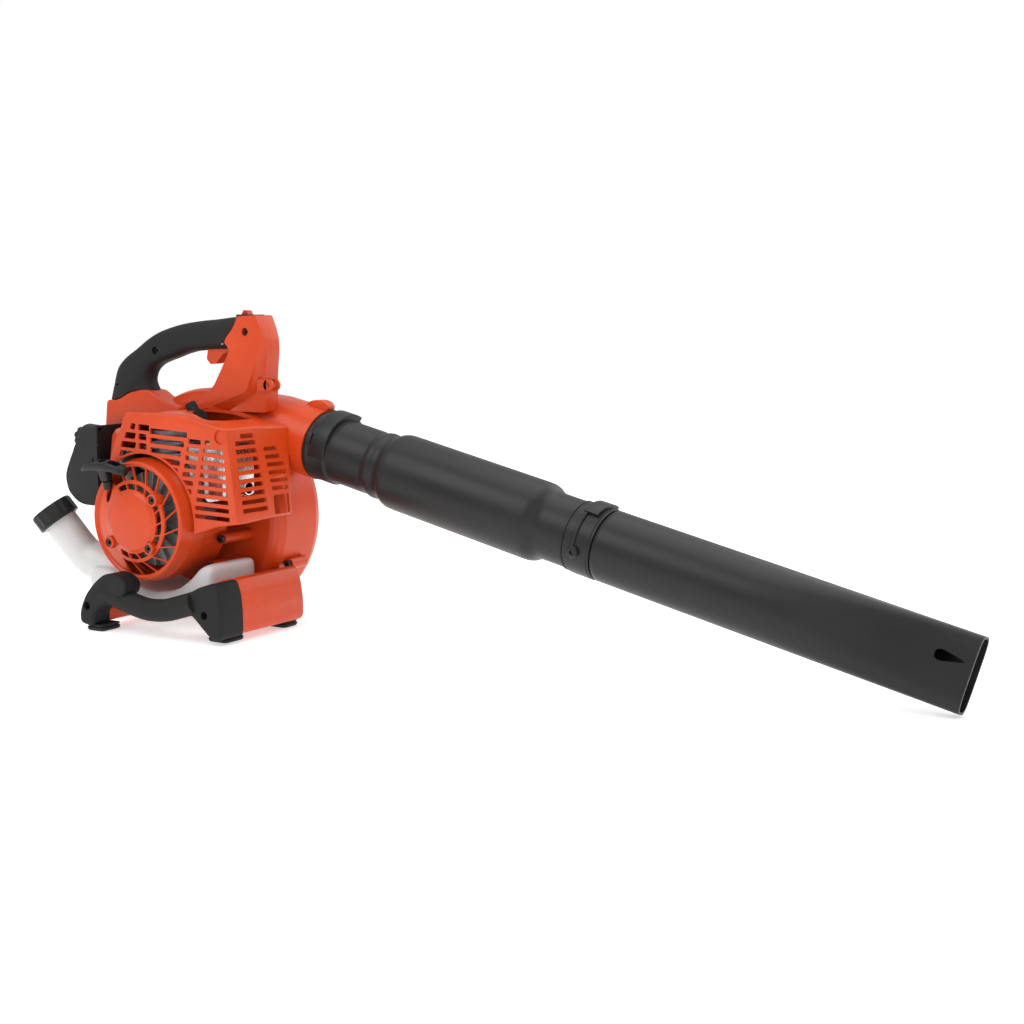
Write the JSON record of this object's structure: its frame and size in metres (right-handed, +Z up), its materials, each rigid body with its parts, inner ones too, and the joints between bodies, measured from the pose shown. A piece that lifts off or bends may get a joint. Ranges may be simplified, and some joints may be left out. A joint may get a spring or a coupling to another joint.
{
  "type": "hand-held petrol leaf blower",
  "caption": "Petrol leaf blower with carrying handle, volute fan case, recoil starter, fuel tank, stand with second-hand bar and two-piece flattened blow tube.",
  "frame": {"origin": "middle of the footprint on the ground", "axes": "+X the way the air leaves, +Y from the starter to the fan intake, +Z up"},
  "size_m": [1.1139, 0.248, 0.3645],
  "materials": {
    "orange_shell": "satin moulded",
    "black_shell": "fine moulded texture",
    "black_tube": "blow-moulded satin",
    "grip_rubber": "matte",
    "foot_rubber": "matte",
    "tank_white": "translucent blow-moulded",
    "switch_red": "moulded",
    "cast_aluminium": "die-cast",
    "machined_steel": "machined",
    "black_steel": "black oxide",
    "bright_steel": "pressed bright steel",
    "ceramic": "glazed",
    "primer": "soft translucent",
    "foam": "open-cell foam",
    "fan_plastic": "glass-filled"
  },
  "bodies": {
    "housing": {"carburetor": "cast_aluminium", "case_screws": "black_steel", "cowl_screws": "black_steel", "cowl_standoffs": "orange_shell", "crank_bearings": "machined_steel", "crank_seals": "foot_rubber", "crankcase": "cast_aluminium", "cylinder": "cast_aluminium", "engine_cover": "orange_shell", "engine_cowl": "orange_shell", "fan_case_inner": "orange_shell", "fan_case_outer": "orange_shell", "filter_base": "black_shell", "filter_element": "foam", "foot_pads": "foot_rubber", "front_leg": "orange_shell", "fuel_tank": "tank_white", "handle_grip": "grip_rubber", "handle_left_shell": "orange_shell", "handle_right_shell": "orange_shell", "handle_screws": "black_steel", "ignition_coil": "machined_steel", "insulator_block": "black_shell", "intake_grille": "black_shell", "latch_tab": "orange_shell", "muffler": "bright_steel", "piston": "cast_aluminium", "piston_pin": "machined_steel", "rear_leg": "orange_shell", "recoil_spring": "machined_steel", "rope_guide": "black_shell", "spark_plug": "ceramic", "spark_plug_boot": "grip_rubber", "stand_screws": "black_steel", "starter_cover": "orange_shell", "starter_screws": "black_steel", "support_handle": "grip_rubber", "switch_plate": "black_shell", "trigger_pin": "machined_steel"},
    "rotor": {"crankshaft": "machined_steel", "flywheel": "cast_aluminium", "flywheel_nut": "machined_steel", "starter_pawls": "machined_steel", "fan_impeller": "fan_plastic", "fan_nut": "machined_steel"},
    "starter_reel": {"starter_pulley": "fan_plastic"},
    "pull_grip": {"starter_grip": "black_shell"},
    "trigger": {"throttle_trigger": "orange_shell"},
    "throttle": {"throttle_shaft": "machined_steel"},
    "switch": {"stop_switch": "switch_red"},
    "cap_seal": {"cap_gasket": "foot_rubber"},
    "cap": {"fuel_cap": "black_shell"},
    "choke": {"choke_lever": "black_shell"},
    "primer": {"primer_bulb": "primer"},
    "filter_lid": {"filter_cover": "black_shell"},
    "lid_knob": {"filter_knob": "black_shell"},
    "first_tube": {"silencer_tube": "black_tube"},
    "nozzle": {"nozzle_tube": "black_tube"}
  },
  "joints": [
    {"name": "crank_spin", "type": "hinge", "parent": "housing", "child": "rotor", "pos_m": [-0.36708, -0.031, 0.128], "axis": [0, 1, 0], "continuous": true},
    {"name": "starter_pull", "type": "slide", "parent": "housing", "child": "pull_grip", "axis": [0, -0.26, 0.9656], "range_m": [0, 0.6]},
    {"name": "reel_spin", "type": "hinge", "parent": "housing", "child": "starter_reel", "pos_m": [-0.36708, -0.092, 0.128], "axis": [0, 1, 0], "range_deg": [0, 1450]},
    {"name": "trigger_squeeze", "type": "hinge", "parent": "housing", "child": "trigger", "pos_m": [-0.31708, 0.012, 0.327], "axis": [0, 1, 0], "range_deg": [0, 16], "stiffness_Nm_per_rad": 0.6, "springref_deg": -8.59},
    {"name": "throttle_turn", "type": "hinge", "parent": "housing", "child": "throttle", "pos_m": [-0.43008, -0.031, 0.186], "axis": [0, 1, 0], "range_deg": [0, 60]},
    {"name": "stop_slide", "type": "slide", "parent": "housing", "child": "switch", "axis": [1, 0, 0], "range_m": [0, 0.009]},
    {"name": "cap_lift", "type": "slide", "parent": "housing", "child": "cap_seal", "axis": [-0.52, -0.28, 0.807], "range_m": [0, 0.012]},
    {"name": "cap_turn", "type": "hinge", "parent": "cap_seal", "child": "cap", "pos_m": [-0.52408, -0.064, 0.113], "axis": [-0.52, -0.28, 0.807], "range_deg": [0, 1080]},
    {"name": "choke_flip", "type": "hinge", "parent": "housing", "child": "choke", "pos_m": [-0.45108, -0.061, 0.188], "axis": [0, -1, 0], "range_deg": [0, 60]},
    {"name": "primer_press", "type": "slide", "parent": "housing", "child": "primer", "axis": [0, 0, 1], "range_m": [0, 0.0035], "stiffness_N_per_m": 400, "springref_m": -0.001},
    {"name": "filter_lid_off", "type": "slide", "parent": "housing", "child": "filter_lid", "axis": [-1, 0, 0], "range_m": [0, 0.006]},
    {"name": "knob_turn", "type": "hinge", "parent": "filter_lid", "child": "lid_knob", "pos_m": [-0.50908, -0.031, 0.212], "axis": [-1, 0, 0], "range_deg": [0, 720]},
    {"name": "tube_twist", "type": "hinge", "parent": "housing", "child": "first_tube", "pos_m": [-0.21008, 0.049, 0.211], "axis": [0.9746, -0.034, -0.2215], "range_deg": [0, 30]},
    {"name": "nozzle_twist", "type": "hinge", "parent": "first_tube", "child": "nozzle", "pos_m": [0.16804, 0.0358, 0.12504], "axis": [0.9746, -0.034, -0.2215], "range_deg": [0, 30]}
  ],
  "couplings": [
    {"joint": "reel_spin", "follows": "starter_pull", "rad_per_m": 40},
    {"joint": "throttle_turn", "follows": "trigger_squeeze", "ratio": 3.5},
    {"joint": "cap_turn", "follows": "cap_lift", "rad_per_m": 1570.8}
  ]
}
